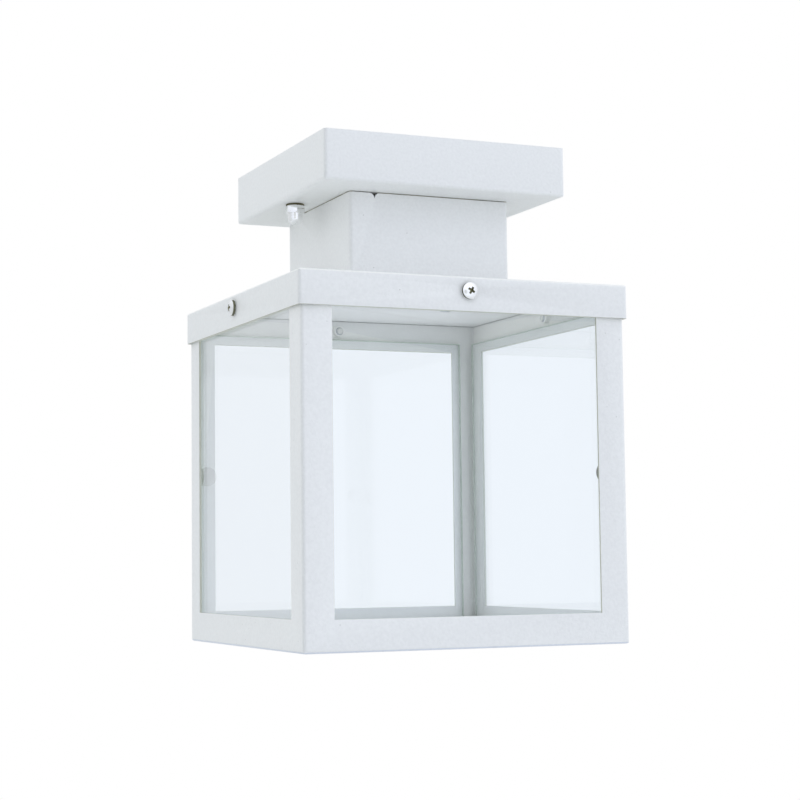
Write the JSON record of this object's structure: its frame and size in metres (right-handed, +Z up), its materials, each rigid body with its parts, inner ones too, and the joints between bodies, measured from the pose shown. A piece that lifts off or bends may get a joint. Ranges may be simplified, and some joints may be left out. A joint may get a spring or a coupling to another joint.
{
  "type": "porch ceiling lantern",
  "caption": "Square white ceiling lantern: a small ceiling pan and square neck over a skirted roof, with an open-bottomed glazed cage held in the skirt by side screws.",
  "frame": {"origin": "middle of the two ceiling screw slots, in the plane of the ceiling", "axes": "+Z up into the ceiling, so the lantern hangs along -Z; -Y is the front, with a roof screw in the middle of its skirt; +X is to the right, along the mounting bar"},
  "size_m": [0.165, 0.165, 0.2287],
  "materials": {
    "white_coat": "white powder coat with a fine texture",
    "clear_glass": "clear float glass",
    "clear_dab": "clear sealant, cloudy",
    "bright_plate": "bright nickel plate",
    "zinc_plate": "zinc plate",
    "black_rubber": "matt",
    "porcelain": "white glaze",
    "brass": "bright",
    "nylon": "natural nylon",
    "brown_insulation": "satin",
    "blue_insulation": "satin",
    "green_insulation": "satin"
  },
  "bodies": {
    "bracket": {"mounting_bracket": "zinc_plate", "bracket_studs": "zinc_plate", "stud_lock_nuts": "zinc_plate"},
    "lantern": {"ceiling_pan": "white_coat", "neck": "white_coat", "neck_rivets": "zinc_plate", "roof_rivets": "zinc_plate", "roof": "white_coat", "cage_front_left": "white_coat", "cage_back_right": "white_coat", "glass_front": "clear_glass", "glass_left": "clear_glass", "glass_back": "clear_glass", "glass_right": "clear_glass", "glass_dabs": "clear_dab", "acorn_washers": "black_rubber", "wire_grommet": "black_rubber", "holder_strap": "zinc_plate", "strap_screws": "zinc_plate", "strap_nuts": "zinc_plate", "holder_body": "porcelain", "holder_side_screws": "zinc_plate", "holder_shell": "brass", "holder_contact": "brass", "holder_terminals": "brass", "holder_terminal_screws": "zinc_plate", "terminal_block": "nylon", "terminal_tubes": "brass", "terminal_screws": "zinc_plate", "block_screw": "zinc_plate", "block_nut": "zinc_plate", "earth_screw": "zinc_plate", "earth_nut": "zinc_plate", "earth_lug": "brass", "live_wire": "brown_insulation", "neutral_wire": "blue_insulation", "earth_wire": "green_insulation"},
    "acorn_nut_left": {"acorn_nut_left": "bright_plate"},
    "acorn_nut_right": {"acorn_nut_right": "bright_plate"},
    "roof_screw_front": {"roof_screw_front": "bright_plate"},
    "roof_screw_left": {"roof_screw_left": "bright_plate"},
    "roof_screw_back": {"roof_screw_back": "bright_plate"},
    "roof_screw_right": {"roof_screw_right": "bright_plate"}
  },
  "joints": [
    {"name": "lantern_drop", "type": "slide", "parent": "bracket", "child": "lantern", "axis": [0, 0, -1], "range_m": [0, 0.04]},
    {"name": "acorn_nut_left_off", "type": "slide", "parent": "lantern", "child": "acorn_nut_left", "axis": [0, 0, -1], "range_m": [0, 0.012]},
    {"name": "acorn_nut_right_off", "type": "slide", "parent": "lantern", "child": "acorn_nut_right", "axis": [0, 0, -1], "range_m": [0, 0.012]},
    {"name": "roof_screw_front_out", "type": "slide", "parent": "lantern", "child": "roof_screw_front", "axis": [0, -1, 0], "range_m": [0, 0.012]},
    {"name": "roof_screw_left_out", "type": "slide", "parent": "lantern", "child": "roof_screw_left", "axis": [-1, 0, 0], "range_m": [0, 0.012]},
    {"name": "roof_screw_back_out", "type": "slide", "parent": "lantern", "child": "roof_screw_back", "axis": [0, 1, 0], "range_m": [0, 0.012]},
    {"name": "roof_screw_right_out", "type": "slide", "parent": "lantern", "child": "roof_screw_right", "axis": [1, 0, 0], "range_m": [0, 0.012]}
  ]
}
